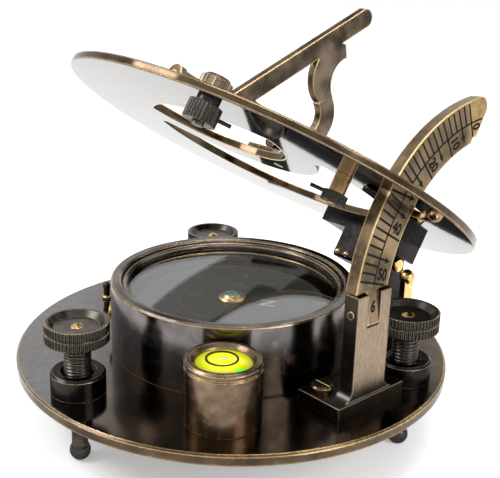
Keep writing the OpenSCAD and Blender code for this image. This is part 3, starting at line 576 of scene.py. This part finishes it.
def dress(material, *names):
    """Gives CAD nodes a finish and smooth round faces."""
    for name in names:
        if name not in frame["nodes"]:
            raise RuntimeError("the frame has no node " + name)
        node = frame["nodes"][name]
        if not node.data.materials:
            node.data.materials.append(material)
        for index in range(len(node.data.materials)):
            node.data.materials[index] = material
        node.data.shade_smooth()
        weld = node.modifiers.new("weld", "WELD")
        weld.merge_threshold = 1e-6
        split = node.modifiers.new("split", "EDGE_SPLIT")
        split.split_angle = math.radians(28)


def joint(name):
    for row in frame["joints"]:
        if row["name"] == name:
            return row
    raise RuntimeError("the frame has no joint " + name)


HINGE = Vector(joint("dial_tilt")["pos_m"]) / MM


def dial_plane():
    """Plane of the dial plate's upper face: X east, Y north along the plate, origin at its middle."""
    north = -Vector(joint("gnomon_fold")["axis"]).normalized()
    up = EAST.cross(north)
    origin = middle_mm("dial_plate") + up * PLATE_T / 2
    return Matrix.Translation(origin) @ Matrix((EAST, north, up)).transposed().to_4x4()


def arc_face():
    """Leaning east face of the arc: origin on the hinge axis, X south, Y up, Z into the metal."""
    arc, pin = frame["nodes"]["latitude_arc"], middle_mm("arc_pin")
    side = max((p for p in arc.data.polygons if p.normal.x > 0.9), key=lambda p: p.area)
    lean = math.atan2(side.normal.z, side.normal.x)
    away = (arc.matrix_world @ side.center / MM - pin).dot(side.normal)
    turned = Matrix((Vector((0, -1, 0)), Vector((0, 0, 1)), Vector((-1, 0, 0)))).transposed().to_4x4()
    return (Matrix.Translation((pin.x, 0, pin.z)) @ Matrix.Rotation(-lean, 4, "Y")
            @ Matrix.Translation((away, HINGE.y, HINGE.z - pin.z)) @ turned)


class SundialOperator:
    """What the operators share."""
    bl_options = {"REGISTER", "UNDO"}

    def settings(self, context):
        return context.scene.sundial_sizes, context.scene.sundial_tones


class SUNDIAL_OT_metal(SundialOperator, bpy.types.Operator):
    """Give the CAD parts their metal, glass, stone and liquid"""
    bl_idname = "sundial.metal"
    bl_label = "Finish the metal"

    def execute(self, context):
        sizes, tones = self.settings(context)
        worn, wear = tones.worn, sizes.wear
        under = -dial_plane().col[2].xyz
        tip_start = (box_mm("latitude_arc")[1].y - TIP_LENGTH) * MM
        face_start = (box_mm("arc_post")[0].z + POST_DARK_FOOT) * MM
        # The base's top is painted lighter grey on its left side, a painted reflection
        base = metal("aged_bronze", tones.plate, worn, wear * 1.3, rough=0.12, keep=0.9, tint=0.9,
                     scratch=0.04, rubbed=Rub(tones.base, UP, 0.06, PAINTED_SHEEN_SIDE, PAINTED_SHEEN_START,
                                              blend=PAINTED_SHEEN_BLEND))
        plate = metal("plate_bronze", tones.plate, worn, wear, rough=0.08, keep=0.6, scratch=0.03,
                      tint=0.88, rubbed=Rub(tones.mirror, under, 0.02))
        box = metal("box_bronze", tones.box, worn, wear * 1.2, rough=0.13, keep=0.9, tint=0.9,
                    scratch=0.08)
        level = metal("level_bronze", tones.level, worn, wear, rough=0.19, spread=0.5, keep=0.45,
                      tint=0.9, clouds=130.0)
        brass = metal("brown_brass", tones.brass, worn, wear * 1.2, rough=0.24, spread=0.6, keep=0.85,
                      tint=0.9, rubbed=Rub(tones.tip, EAST, 0.22, NORTH, tip_start, 0.3))
        post = metal("post_brass", tones.post, tones.rubbed, wear * 0.8, rough=0.24, grain=(1, 14, 1),
                     keep=0.15, rubbed=Rub(tones.rubbed, EAST, 0.24, UP, face_start, 0.5))
        gnomon = metal("gnomon_bronze", tones.gnomon, worn, wear, rough=0.2, spread=0.65, keep=0.65,
                       clouds=110.0)
        bright = metal("bright_brass", tones.bright, worn, wear * 0.4, rough=0.14, spread=0.25, tint=1.0)
        copper = metal("copper_screw", tones.copper, worn, wear * 0.4, rough=0.2, spread=0.35, tint=1.0)
        black = metal("black_metal", tones.black, tones.hinge_edge, wear * 0.5, rough=0.2, keep=0.25)
        boss = metal("boss_metal", tones.black, worn, wear * 0.6, rough=0.2, keep=0.5)
        dull = metal("dull_black", tones.black, tones.dull_edge, wear * 0.4, rough=0.22, keep=0.1)
        brown = metal("brown_collar", tones.collar, worn, wear * 0.4, rough=0.16, spread=0.3, tint=0.9)
        head = metal("head_metal", tones.black, tones.dull_edge, wear * 0.5, rough=0.2, keep=0.25,
                     tint=0.8, rubbed=Rub(tones.dish, UP, 0.3, edge=worn))
        screw = metal("screw_bronze", tones.gnomon, tones.rubbed, wear * 0.4, rough=0.22, keep=0.2)
        steel = metal("steel", tones.steel, tones.steel_edge, wear * 0.4, rough=0.2, tint=1.0)
        vial = liquid("level_liquid", tones.lime, tones.green, top_mm("level_vial") * MM,
                      radius_mm("level_vial") * MM)
        dress(base, "base_plate")
        dress(plate, "dial_plate", "lug_rivets")
        dress(box, "compass_box", "bezel_ring")
        dress(level, "level_housing")
        dress(brass, "latitude_arc")
        dress(post, "arc_post")
        dress(gnomon, "gnomon", "lug_south", "lug_north", "inner_screw", "west_stud", "arc_pin")
        dress(screw, "rim_screw")
        dress(bright, "card_cap", "hinge_keeper", "hinge_pin", "keeper_rivet", "leaf_rivets",
              "gnomon_pins", "leaf_screws", "lock_screw")
        dress(copper, "post_screws", "bracket_screws")
        dress(head, *("knob_" + corner for corner in CORNERS))
        dress(boss, *("boss_" + corner for corner in CORNERS))
        dress(black, "hinge_bracket", "hinge_leaf")
        dress(dull, "rim_nut", "inner_nut")
        dress(brown, "inner_collar")
        dress(steel, "box_screws", "level_screw", "pivot_pin", "card_magnet")
        dress(paint("card_ground", tones.card, 0.35), "compass_card")
        dress(glass("cover_glass"), "compass_glass")
        dress(stone("jewel_stone", tones.jewel), "card_jewel")
        dress(vial, "level_vial")
        return {"FINISHED"}


class SUNDIAL_OT_threads(SundialOperator, bpy.types.Operator):
    """Cut the screw thread into the three levelling spindles"""
    bl_idname = "sundial.threads"
    bl_label = "Cut the threads"

    def execute(self, context):
        sizes, tones = self.settings(context)
        pitch, depth = sizes.thread_pitch / MM, sizes.thread_depth / MM
        lowest = min(box_mm("knob_" + corner)[0].z for corner in CORNERS)
        material = metal("spindle_steel", tones.spindle, tones.spindle_edge, sizes.wear * 0.3, rough=0.2,
                         rubbed=Rub(tones.bright, UP, 0.15, UP, (lowest + 1) * MM))
        ball_z = math.sqrt(BALL_R ** 2 - BALL_FLAT_R ** 2)
        ball_top = ball_z + math.sqrt(BALL_R ** 2 - NECK_R ** 2)
        for corner in CORNERS:
            node = "spindle_" + corner
            tip = box_mm(node)[1].z
            thread_r = radius_mm(node)
            knob_low = box_mm("knob_" + corner)[0].z
            count = round((knob_low - THREAD_LOW) / pitch * THREAD_ROWS)
            heights = [THREAD_LOW + (knob_low - THREAD_LOW) * i / count for i in range(count + 1)]

            def groove(z, turn):
                """Depth of the thread, which runs out at both ends."""
                if not heights[2] < z < heights[-2]:
                    return 0.0
                wave = abs(2 * ((z / pitch - turn) % 1.0) - 1)
                return depth * min(1.0, wave * 1.25)

            profile = []
            for i in range(BALL_ROWS + 1):
                z = ball_top * i / BALL_ROWS
                profile.append((math.sqrt(max(0.0, BALL_R ** 2 - (z - ball_z) ** 2)), z))
            profile += [(NECK_R, NECK_TOP), (thread_r - THREAD_CHAMFER, THREAD_LOW - THREAD_CHAMFER)]
            profile += [(thread_r, z) for z in heights]
            profile += [(STUB_R, knob_low), (STUB_R, tip - STUB_POINT), (0.05, tip)]
            mesh = Mesh()
            mesh.lathe(profile, middle_mm(node), THREAD_SEGMENTS, groove)
            mesh.piece("thread_" + corner, "foot_" + corner, "black_metal", material, (node,), smooth=True)
        return {"FINISHED"}


class SUNDIAL_OT_scale(SundialOperator, bpy.types.Operator):
    """Engrave the degrees of latitude on the arc's east face"""
    bl_idname = "sundial.scale"
    bl_label = "Engrave the latitude scale"

    def execute(self, context):
        sizes, tones = self.settings(context)
        half = sizes.tick_width / MM / 2
        low, high = ENGRAVED
        face = arc_face()
        mesh = Mesh()

        def plane(step):
            """At the hinge axis: X outwards along a graduation, Y up the arc, Z into the metal."""
            return face @ Matrix.Rotation(math.radians(SCALE_START - SCALE_STEP * step), 4, "Z")

        def line(step, start, end):
            mesh.prism([(start, -half), (end, -half), (end, half), (start, half)], plane(step),
                       -high, -low)

        def arrow(step):
            shoulder = ARC_IN + ARROW_SHOULDER
            line(step, ARC_IN + ARROW_LINE, PARTING_R)
            mesh.prism([(ARC_IN + ARROW_TIP, 0), (shoulder, -ARROW_HALF), (shoulder, ARROW_HALF)],
                       plane(step), -high, -low)

        def number(text, step, start, rise):
            spot = (plane(step) @ Matrix.Translation((start, rise, 0)) @ Matrix.Rotation(math.pi, 4, "Y")
                    @ Matrix.Diagonal((NUMERAL_SQUEEZE, 1, 1, 1)))
            mesh.word(text, sizes.numeral_size / MM, spot, low, high, "LEFT", NUMERAL_BOLD)

        for step in range(SCALE_LAST + 1):
            line(step, PARTING_R, ARC_OUT - TICK_MARGIN)
            if step in SCALE_NUMBERS:
                line(step, ARC_IN + (END_LINE if step in (0, SCALE_LAST) else NUMBERED_LINE), PARTING_R)
                rise = NUMERAL_RISE if step else NUMERAL_RISE_FIRST
                number(SCALE_NUMBERS[step], step, PARTING_R - NUMERAL_GAP, half + rise)
            elif step in SCALE_ARROWS:
                arrow(step)
        start, end = math.radians(PARTING_FROM), math.radians(PARTING_TO)
        mesh.ring(face, PARTING_R - half * 0.8, PARTING_R + half * 0.8, -high, -low, 80, start, end - start)
        number("6", FORK_NUMBER_STEP, PARTING_R - FORK_NUMBER_GAP, 0)
        mesh.piece("latitude_scale", "frame", "black_metal", paint("engraving_ink", tones.ink, 0.7, 0.1))
        return {"FINISHED"}


class SUNDIAL_OT_hours(SundialOperator, bpy.types.Operator):
    """Engrave the hour lines and numerals on the dial plate"""
    bl_idname = "sundial.hours"
    bl_label = "Engrave the hour ring"

    def execute(self, context):
        sizes, tones = self.settings(context)
        plane = dial_plane()
        foot, slope = Vector((0, -STYLE_FOOT)), math.radians(STYLE_SLOPE)
        low, high = ENGRAVED
        size = sizes.hour_size / MM
        mesh = Mesh()

        def meet(hour, radius):
            """Where an hour's line from the style's foot crosses a circle about the middle."""
            turn = math.radians(15.0 * (hour - 12))
            way = Vector((math.sin(slope) * math.sin(turn), math.cos(turn))).normalized()
            back = foot.dot(way)
            return foot + way * (math.sqrt(back ** 2 - foot.length_squared + radius ** 2) - back)

        for quarter in range(4 * (len(HOURS) - 1) + 1):
            hour = FIRST_HOUR + quarter / 4
            full = quarter % 4 == 0
            a = meet(hour, HOUR_TICK_STARTS[quarter % 4])
            b = meet(hour, HOUR_TICK_END)
            side = Vector((-(b - a).y, (b - a).x)).normalized()
            side *= HOUR_HALF_WIDTH if full else QUARTER_HALF_WIDTH
            mesh.prism([a - side, b - side, b + side, a + side], plane, low, high)
            if full:
                spot = meet(hour, HOUR_NAME_R)
                turned = plane @ Matrix.Translation((spot.x, spot.y, 0)) @ Matrix.Rotation(
                    math.atan2(spot.y, spot.x) - math.pi / 2, 4, "Z")
                drop = Matrix.Translation((0, -size * LETTER_MIDDLE, 0))
                mesh.word(HOURS[quarter // 4], size, turned @ drop, low, high, bold=HOUR_BOLD)
        for radius in HOUR_RINGS:
            mesh.ring(plane, radius - HOUR_RING_HALF, radius + HOUR_RING_HALF, low, high, 192)
        mesh.piece("hour_ring", "dial", "black_metal", paint("hour_ink", tones.ink, 0.7, 0.1))
        return {"FINISHED"}


class SUNDIAL_OT_card(SundialOperator, bpy.types.Operator):
    """Print the points and degrees on the compass card"""
    bl_idname = "sundial.card"
    bl_label = "Print the compass card"

    def execute(self, context):
        sizes, tones = self.settings(context)
        top = box_mm("compass_card")[1].z
        plane = Matrix.Translation((0, 0, top)) @ Matrix.Rotation(sizes.north - math.pi / 2, 4, "Z")
        low, high = PRINTED
        half = CARD_TICK_HALF
        size = sizes.letter_size / MM
        bright, faint = Mesh(), Mesh()

        def diamond(matrix, half_width, tip, waist, foot):
            faint.prism([(0, tip), (-half_width, waist), (0, foot), (half_width, waist)], matrix, low, high)

        for step in range(72):
            turned = plane @ Matrix.Rotation(math.radians(5 * step), 4, "Z")
            start = CARD_TICK_STARTS[step % 2]
            faint.prism([(-half, start), (half, start), (half, CARD_TICK_END), (-half, CARD_TICK_END)],
                        turned, low, high)
        for inner, outer in CARD_RINGS:
            faint.ring(plane, inner, outer, low, high)
        for quarter, name in enumerate("NWSE"):
            turned = plane @ Matrix.Rotation(math.pi / 2 * quarter, 4, "Z")
            (faint if quarter else bright).word(
                name, size, turned @ Matrix.Translation((0, CARD_LETTER_R - size * LETTER_MIDDLE, 0)),
                low, high)
            diamond(turned, *MAIN_POINT)
            diamond(turned @ Matrix.Rotation(math.pi / 4, 4, "Z"), *HALF_POINT)
        bright.piece("card_north", "card", "card_print", paint("card_white", tones.printed, 0.5))
        faint.piece("card_print", "card", "card_print", paint("card_grey", tones.faint, 0.5))
        return {"FINISHED"}


class SUNDIAL_OT_level(SundialOperator, bpy.types.Operator):
    """Put the bubble and the centring ring on the spirit level"""
    bl_idname = "sundial.level"
    bl_label = "Fill the spirit level"

    def execute(self, context):
        sizes, tones = self.settings(context)
        top = top_mm("level_vial")
        ring = Mesh()
        ring.ring(Matrix.Translation(top + LEVEL_RING_OFF), *LEVEL_RING, *LEVEL_RING_DEPTH, 64)
        ring.piece("level_ring", "frame", "black_metal", paint("ring_ink", tones.ink, 0.4))
        radius = sizes.bubble_d / MM / 2
        profile = [(radius * 0.6, top.z - BUBBLE_DEPTH)]
        for i in range(9, -1, -1):
            a = math.radians(10 * i)
            profile.append((radius * math.sin(a) if i else 0.04,
                            top.z + BUBBLE_LIFT - BUBBLE_RISE * (1 - math.cos(a))))
        bubble = Mesh()
        bubble.lathe(profile, top + BUBBLE_OFF)
        # The bubble's pale colour is painted light coming through it
        shine = Shade("bubble_air")
        swirl = shine.noise(shine.place(), 500.0, 2.0)
        bright = shine.mix(swirl, rgba(tones.lime, 0.9), rgba(tones.bubble))
        material = shine.finish(Base_Color=bright, Coat_Weight=1.0, Roughness=0.04 + swirl * 0.05)
        bubble.piece("level_bubble", "frame", "vial", material, smooth=True)
        return {"FINISHED"}


class SUNDIAL_OT_stage(SundialOperator, bpy.types.Operator):
    """Set up the floor, the soft lights and the camera"""
    bl_idname = "sundial.stage"
    bl_label = "Set the stage"

    def execute(self, context):
        tones = self.settings(context)[1]
        scene = context.scene
        scene.view_settings.view_transform = "Standard"
        shade = Shade("floor_paper")
        grain = shade.noise(shade.place(), 30.0, 3.0)
        pale = shade.mix(grain, rgba((0.90, 0.90, 0.90)), rgba((0.92, 0.92, 0.92)))
        paper = shade.finish(Base_Color=pale, Roughness=0.8, Emission_Color=WHITE,
                             Emission_Strength=FLOOR_GLOW)
        turns = [2 * math.pi * i / FLOOR_SIDES for i in range(FLOOR_SIDES)]
        floor = Mesh()
        floor.add([(FLOOR_R * math.cos(a), FLOOR_R * math.sin(a), 0) for a in turns],
                  [range(FLOOR_SIDES)])
        floor.stand("floor", paper)

        # Dark card hidden from the camera and casting no shadow, it paints a dark reflection into the
        # plate's underside and the base
        card = Mesh()
        for outline in DARK_CARDS:
            card.prism(outline, Matrix.Identity(4), *DARK_CARD_HEIGHTS)
        screen = card.stand("dark_card", paint("dark_paper", tones.card, 0.8, 0.1))
        screen.visible_camera = False
        screen.visible_diffuse = False
        screen.visible_shadow = False

        sky = Shade("studio", bpy.data.worlds)
        scene.world = sky.owner
        camera, glossy, through = (sky.node("ShaderNodeLightPath", {}, {}, kind) for kind in
                                   ("Is Camera Ray", "Is Glossy Ray", "Is Transmission Ray"))
        light = sky.node("ShaderNodeBackground", {}, {"Color": SKY_COLOUR, "Strength": SKY_LIGHT})
        white = sky.node("ShaderNodeBackground", {}, {"Color": WHITE, "Strength": 1.0})
        seen = camera.most(glossy).most(through)
        blend = sky.node("ShaderNodeMixShader", {}, {0: seen, 1: light, 2: white})
        sky.feed(sky.tree.nodes["World Output"], {"Surface": blend})

        for name, spot, size, power in LAMPS:
            lamp = bpy.data.lights.new(name, "AREA")
            lamp.shape = "DISK"
            lamp.size = size
            lamp.energy = power
            holder = bpy.data.objects.new(name, lamp)
            holder.location = spot
            holder.rotation_euler = (LAMP_AIM - Vector(spot)).to_track_quat("-Z", "Y").to_euler()
            scene.collection.objects.link(holder)

        lens = bpy.data.cameras.new("camera")
        lens.sensor_fit = "HORIZONTAL"
        lens.sensor_width = SENSOR_WIDTH
        lens.lens = FOCAL_LENGTH
        lens.shift_x, lens.shift_y = LENS_SHIFT
        lens.clip_start = 0.01
        lens.clip_end = 20.0
        forward, right = CAMERA_FORWARD.normalized(), CAMERA_RIGHT.normalized()
        over = right.cross(forward).normalized()
        view = bpy.data.objects.new("camera", lens)
        view.matrix_world = Matrix.Translation(CAMERA_PLACE) @ Matrix(
            (right, over, -forward)).transposed().to_4x4()
        scene.collection.objects.link(view)
        scene.camera = view
        return {"FINISHED"}


class SUNDIAL_PT_panel(bpy.types.Panel):
    """Lists the steps and what they can be told"""
    bl_idname = "SUNDIAL_PT_panel"
    bl_label = "Sundial compass"
    bl_space_type = "VIEW_3D"
    bl_region_type = "UI"
    bl_category = "Sundial"

    def draw(self, context):
        for group in (context.scene.sundial_sizes, context.scene.sundial_tones):
            for key in group.__annotations__:
                self.layout.prop(group, key)
        for step in STEPS:
            self.layout.operator(step.bl_idname)


STEPS = (SUNDIAL_OT_metal, SUNDIAL_OT_threads, SUNDIAL_OT_scale, SUNDIAL_OT_hours, SUNDIAL_OT_card,
         SUNDIAL_OT_level, SUNDIAL_OT_stage)
CLASSES = (SundialSizes, SundialTones) + STEPS + (SUNDIAL_PT_panel,)


def register():
    for item in CLASSES:
        bpy.utils.register_class(item)
    bpy.types.Scene.sundial_sizes = bpy.props.PointerProperty(type=SundialSizes)
    bpy.types.Scene.sundial_tones = bpy.props.PointerProperty(type=SundialTones)


def unregister():
    del bpy.types.Scene.sundial_tones
    del bpy.types.Scene.sundial_sizes
    for item in reversed(CLASSES):
        bpy.utils.unregister_class(item)


def main():
    register()
    for step in STEPS:
        area, name = step.bl_idname.split(".")
        if getattr(getattr(bpy.ops, area), name)() != {"FINISHED"}:
            raise RuntimeError(step.bl_label + " did not finish")


if __name__ == "__main__":
    main()
